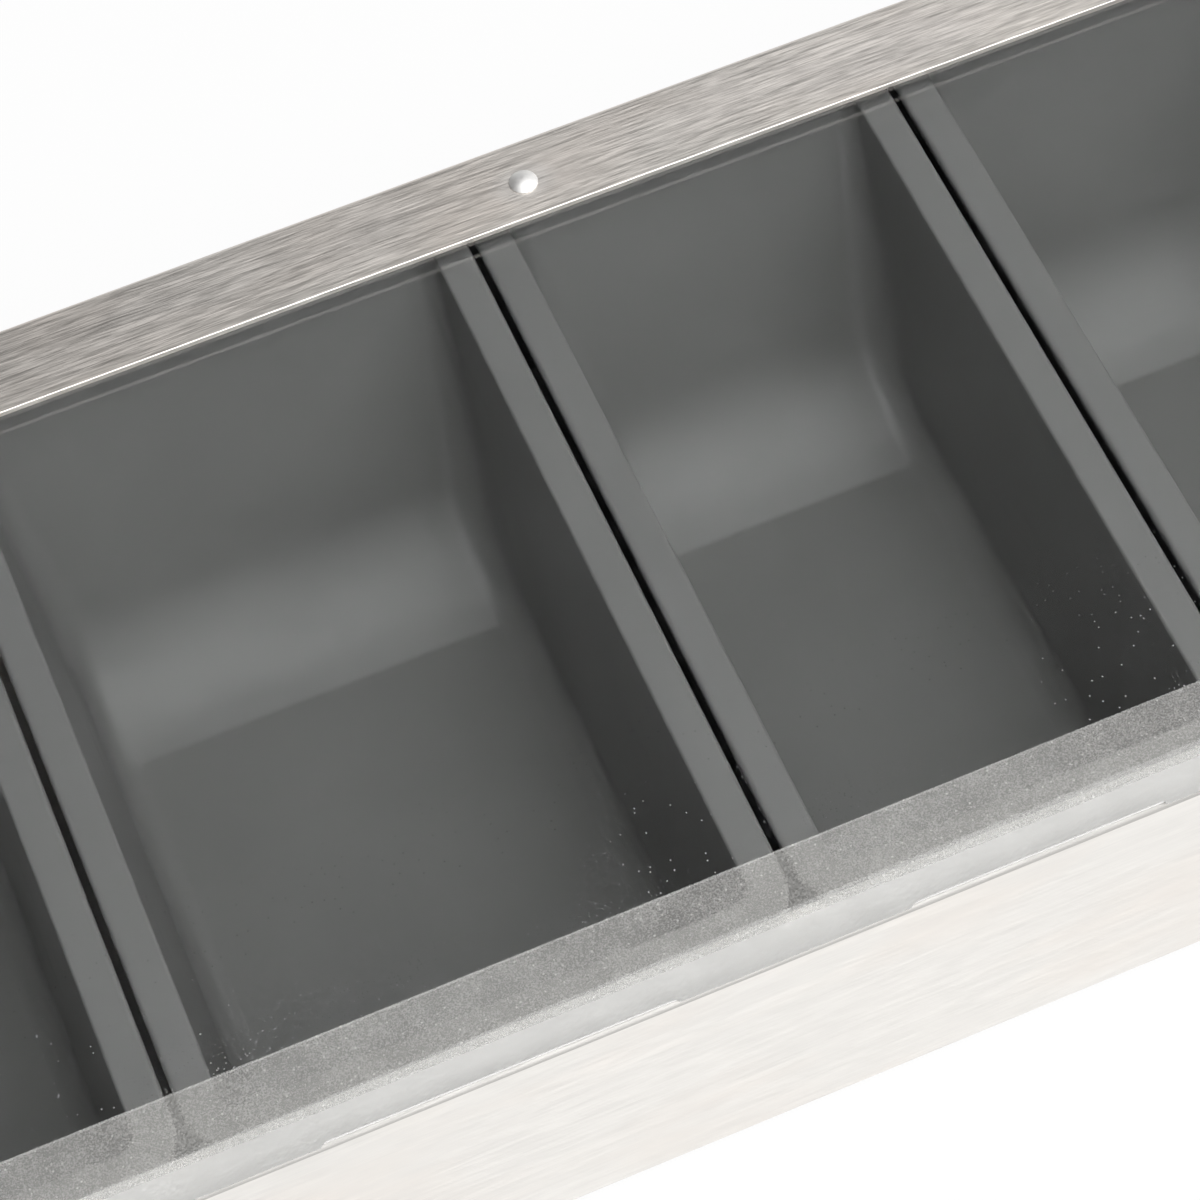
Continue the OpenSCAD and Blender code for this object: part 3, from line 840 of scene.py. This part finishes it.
class GARNISHTRAY_OT_lid(Operator):
    """Make the clear lid with its frosted, turned-down edge"""

    bl_idname = "garnish_tray.lid"
    bl_label = "Lid"

    def execute(self, context):
        own = settings(context)[1]
        low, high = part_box("lid_panel")
        border = frosted_sheet("frosted_border", own.frost, own.frost_open, own.frost_roughness)
        # The lip takes the darker tint of the frost: painted shade on the turned-down lip
        lip = frosted_sheet("frosted_lip", own.lip_frost_and_painted_shade, own.lip_open, own.lip_roughness)
        recesses = []
        for name in INSERTS:
            insert_low, insert_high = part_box(name)
            half = (own.recess_large if name.startswith("large") else own.recess_small) / 2
            middle = (insert_low.x + insert_high.x) / 2 - own.recess_shift
            recesses.append((middle - half, middle + half))
        top_z = high.z - RAIL_GAP
        verts, faces, finishes = lid_mesh(own, low.x, high.x, low.y, high.y, low.z, top_z, recesses)
        made = make_object(
            "lid_sheet", verts, faces, materials=[clear_sheet(own), border, lip], material_index=finishes
        )
        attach(made, "lid")
        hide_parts("lid_panel")
        return {"FINISHED"}


class GARNISHTRAY_OT_rail(Operator):
    """Finish the brushed rail and its washers"""

    bl_idname = "garnish_tray.rail"
    bl_label = "Rail"

    def execute(self, context):
        own = settings(context)[2]
        places = [sum(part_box(name), Vector()) / 2 for name in LID_RIVETS]
        dress(["lid_rail"], brushed_steel("rail_steel", own.rail, coarse=0.14, rough=0.38, halos=places))
        dress(WASHER_NODES, satin_metal("washer_steel", own.hinge, rough=0.34))
        return {"FINISHED"}


class GARNISHTRAY_OT_rivets(Operator):
    """Make the three blind rivets that hold the rail to the lid"""

    bl_idname = "garnish_tray.rivets"
    bl_label = "Rail rivets"

    def execute(self, context):
        own = settings(context)[2]
        metal = satin_metal("rivet_aluminium", own.rivet, rough=0.6)
        for name in LID_RIVETS:
            low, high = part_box(name)
            middle = (low + high) / 2
            profile = rivet_profile(own, high.z - own.rivet_height, low.z, high.z)
            verts, faces = revolve(profile, TURN_STEPS)
            verts = verts + np.array([middle.x, middle.y, 0.0])
            made = make_object(name + "_turned", verts, faces, smooth_angle=35.0, materials=[metal])
            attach(made, "lid")
            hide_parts(name)
        return {"FINISHED"}


class GARNISHTRAY_OT_housing(Operator):
    """Finish the folded steel housing"""

    bl_idname = "garnish_tray.housing"
    bl_label = "Housing"

    def execute(self, context):
        own = settings(context)[2]
        low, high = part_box("housing_wrap")
        # Painted shade under the lip, over the flange's front and the front fold
        painted_shade = (high.z - own.painted_shade_drop, low.y + own.painted_shade_depth)
        sheet = brushed_steel("housing_steel", own.steel, coarse=0.03, rough=0.44, painted_shade=painted_shade)
        ends = brushed_steel("end_panel_steel", own.steel, coarse=0.03, rough=0.34, along="Y")
        dress(["housing_wrap"], sheet)
        dress(END_PANELS, ends)
        return {"FINISHED"}


class GARNISHTRAY_OT_hinges(Operator):
    """Finish the hinge leaves, pins and rivets"""

    bl_idname = "garnish_tray.hinges"
    bl_label = "Hinges"

    def execute(self, context):
        own = settings(context)[2]
        dress(LEAF_NODES, satin_metal("hinge_steel", own.hinge, rough=0.36))
        dress(PIN_NODES, satin_metal("pin_steel", scaled_colour(own.hinge, 0.9), rough=0.28))
        dress(LEAF_RIVET_NODES, satin_metal("leaf_rivet_aluminium", own.rivet, rough=0.42))
        return {"FINISHED"}


class GARNISHTRAY_OT_pads(Operator):
    """Finish the four non-slip pads"""

    bl_idname = "garnish_tray.pads"
    bl_label = "Pads"

    def execute(self, context):
        dress(PAD_NODES, rubber(settings(context)[2]))
        return {"FINISHED"}


# Camera place and axes in the tray's frame, from the photograph's perspective
CAMERA_PLACE = (-0.11275, -0.305618, 0.553189)
CAMERA_RIGHT = (0.921301, -0.383924, -0.061689)
CAMERA_DOWN = (-0.35733, -0.773333, -0.523709)
CAMERA_FORWARD = (0.153358, 0.504537, -0.849661)
# Side of the photograph and focal length in its pixels, and the width of the lens's sensor in mm
PHOTO_PIXELS = 1200
FOCAL_PIXELS = 3848.5
SENSOR_WIDTH = 36.0
# Place and side length of each lamp
KEY_PLACE = (0.4, -0.55, 1.5)
KEY_SIZE = 1.8
FILL_PLACE = (-0.1, -1.5, 0.6)
FILL_SIZE = 0.9
# Share of the floor's look that is an even glow, for rays that light nothing matt
FLOOR_GLOW = 0.93
# Range of z over which the surroundings change from horizon to zenith, and of x from the left side on
HEIGHT_RANGE = (0.35, 0.75)
SIDE_RANGE = (-0.7, 0.3)
# Angles from its middle at which the dark patch ends and is full
PATCH_END = math.radians(42)
PATCH_FULL = math.radians(18)


def background_share(tree):
    """1 for rays that show the surroundings as they are: from the camera, off gloss and through glass."""
    path = tree.nodes.new("ShaderNodeLightPath")
    either = path.outputs["Is Camera Ray"]
    for name in ("Is Glossy Ray", "Is Transmission Ray"):
        node = tree.nodes.new("ShaderNodeMath")
        node.operation = "MAXIMUM"
        tree.links.new(either, node.inputs[0])
        tree.links.new(path.outputs[name], node.inputs[1])
        either = node.outputs[0]
    return either


class GARNISHTRAY_OT_stage(Operator):
    """Set up the floor, the lamps, the surroundings and the camera"""

    bl_idname = "garnish_tray.stage"
    bl_label = "Stage"

    def execute(self, context):
        own = settings(context)[3]
        scene = context.scene
        self.floor(own)
        self.world(scene, own)
        self.lamp("key_lamp", KEY_PLACE, KEY_SIZE, own.key_power)
        self.lamp("fill_lamp", FILL_PLACE, FILL_SIZE, own.fill_power)
        self.camera(scene)
        scene.view_settings.view_transform = "Standard"
        return {"FINISHED"}

    def floor(self, own):
        half = own.floor_size / 2
        mesh = bpy.data.meshes.new("floor")
        corners = [(-half, -half, 0), (half, -half, 0), (half, half, 0), (-half, half, 0)]
        mesh.from_pydata(corners, [], [(0, 1, 2, 3)])
        made = bpy.data.objects.new("floor", mesh)
        bpy.context.collection.objects.link(made)
        material = bpy.data.materials.new("floor_pale")
        material.use_nodes = True
        tree = material.node_tree
        shader = tree.nodes["Principled BSDF"]
        shader.inputs["Base Color"].default_value = (*own.floor, 1.0)
        shader.inputs["Roughness"].default_value = 0.9
        shader.inputs["Specular IOR Level"].default_value = 0.0
        glow = tree.nodes.new("ShaderNodeEmission")
        glow.inputs["Strength"].default_value = 1.0
        both = tree.nodes.new("ShaderNodeMixShader")
        share_of = tree.nodes.new("ShaderNodeMath")
        share_of.operation = "MULTIPLY"
        share_of.inputs[1].default_value = FLOOR_GLOW
        tree.links.new(background_share(tree), share_of.inputs[0])
        tree.links.new(share_of.outputs[0], both.inputs[0])
        tree.links.new(shader.outputs[0], both.inputs[1])
        tree.links.new(glow.outputs[0], both.inputs[2])
        tree.links.new(both.outputs[0], tree.nodes["Material Output"].inputs["Surface"])
        mesh.materials.append(material)

    def world(self, scene, own):
        """Surroundings pale at the horizon, darker overhead and at the left, darkest above the rear.

        Strength = ramp(z) * side(x) * patch(d . m), with d the direction and m the one that the flat lid
        mirrors to the camera. Rays that light a matt surface see only a share of it.
        """
        world = bpy.data.worlds.new("studio")
        world.use_nodes = True
        tree = world.node_tree

        def ramp(value, low, high, start, end):
            node = tree.nodes.new("ShaderNodeMapRange")
            node.interpolation_type = "SMOOTHSTEP"
            for name, number in (("From Min", low), ("From Max", high), ("To Min", start), ("To Max", end)):
                node.inputs[name].default_value = number
            tree.links.new(value, node.inputs["Value"])
            return node.outputs["Result"]

        def product(first, second):
            node = tree.nodes.new("ShaderNodeMath")
            node.operation = "MULTIPLY"
            tree.links.new(first, node.inputs[0])
            tree.links.new(second, node.inputs[1])
            return node.outputs[0]

        background = tree.nodes["Background"]
        place = tree.nodes.new("ShaderNodeTexCoord").outputs["Generated"]
        split = tree.nodes.new("ShaderNodeSeparateXYZ")
        tree.links.new(place, split.inputs["Vector"])
        mirrored = tree.nodes.new("ShaderNodeVectorMath")
        mirrored.operation = "DOT_PRODUCT"
        tree.links.new(place, mirrored.inputs[0])
        mirrored.inputs[1].default_value = (CAMERA_FORWARD[0], CAMERA_FORWARD[1], -CAMERA_FORWARD[2])
        height = ramp(split.outputs["Z"], *HEIGHT_RANGE, own.horizon, own.zenith)
        near = mirrored.outputs["Value"]
        patch = ramp(near, math.cos(PATCH_END), math.cos(PATCH_FULL), 1.0, own.dark_patch)
        side = ramp(split.outputs["X"], *SIDE_RANGE, own.left_side, 1.0)
        seen = ramp(background_share(tree), 0.0, 1.0, own.ambient, 1.0)
        tree.links.new(product(product(height, side), product(patch, seen)), background.inputs["Strength"])
        background.inputs["Color"].default_value = (1.0, 1.0, 1.0, 1.0)
        scene.world = world

    def lamp(self, name, place, size, power):
        light = bpy.data.lights.new(name, "AREA")
        light.shape = "SQUARE"
        light.size = size
        light.energy = power
        made = bpy.data.objects.new(name, light)
        made.location = place
        made.rotation_mode = "QUATERNION"
        made.rotation_quaternion = (-made.location).to_track_quat("-Z", "Y")
        bpy.context.collection.objects.link(made)

    def camera(self, scene):
        lens = bpy.data.cameras.new("camera")
        lens.sensor_width = SENSOR_WIDTH
        lens.lens = FOCAL_PIXELS / PHOTO_PIXELS * SENSOR_WIDTH
        lens.clip_start, lens.clip_end = 0.05, 30.0
        made = bpy.data.objects.new("camera", lens)
        axes = np.array([CAMERA_RIGHT, -np.array(CAMERA_DOWN), -np.array(CAMERA_FORWARD)]).T
        pose = np.eye(4)
        pose[:3, :3] = axes
        pose[:3, 3] = CAMERA_PLACE
        made.matrix_world = Matrix(pose.tolist())
        bpy.context.collection.objects.link(made)
        scene.camera = made


class GARNISHTRAY_PT_sidebar(Panel):
    """Lists the tray's steps and settings"""

    bl_idname = "GARNISHTRAY_PT_sidebar"
    bl_label = "Garnish tray"
    bl_space_type = "VIEW_3D"
    bl_region_type = "UI"
    bl_category = "Garnish tray"

    def draw(self, context):
        layout = self.layout
        for group, steps in zip(settings(context), STEPS):
            box = layout.box()
            for name in type(group).__annotations__:
                box.prop(group, name)
            for step in steps:
                box.operator(step.bl_idname)


GROUPS = (
    GARNISHTRAY_PG_inserts,
    GARNISHTRAY_PG_lid,
    GARNISHTRAY_PG_metal,
    GARNISHTRAY_PG_stage,
)
STEPS = (
    (GARNISHTRAY_OT_inserts,),
    (GARNISHTRAY_OT_lid,),
    (
        GARNISHTRAY_OT_rail,
        GARNISHTRAY_OT_rivets,
        GARNISHTRAY_OT_housing,
        GARNISHTRAY_OT_hinges,
        GARNISHTRAY_OT_pads,
    ),
    (GARNISHTRAY_OT_stage,),
)
CLASSES = GROUPS + tuple(step for steps in STEPS for step in steps) + (GARNISHTRAY_PT_sidebar,)


def register():
    for cls in CLASSES:
        bpy.utils.register_class(cls)
    scene = bpy.types.Scene
    scene.garnish_tray_inserts = PointerProperty(type=GARNISHTRAY_PG_inserts)
    scene.garnish_tray_lid = PointerProperty(type=GARNISHTRAY_PG_lid)
    scene.garnish_tray_metal = PointerProperty(type=GARNISHTRAY_PG_metal)
    scene.garnish_tray_stage = PointerProperty(type=GARNISHTRAY_PG_stage)


def unregister():
    scene = bpy.types.Scene
    del scene.garnish_tray_stage
    del scene.garnish_tray_metal
    del scene.garnish_tray_lid
    del scene.garnish_tray_inserts
    for cls in reversed(CLASSES):
        bpy.utils.unregister_class(cls)


def main():
    register()
    bpy.ops.garnish_tray.inserts()
    bpy.ops.garnish_tray.lid()
    bpy.ops.garnish_tray.rail()
    bpy.ops.garnish_tray.rivets()
    bpy.ops.garnish_tray.housing()
    bpy.ops.garnish_tray.hinges()
    bpy.ops.garnish_tray.pads()
    bpy.ops.garnish_tray.stage()


if __name__ == "__main__":
    main()
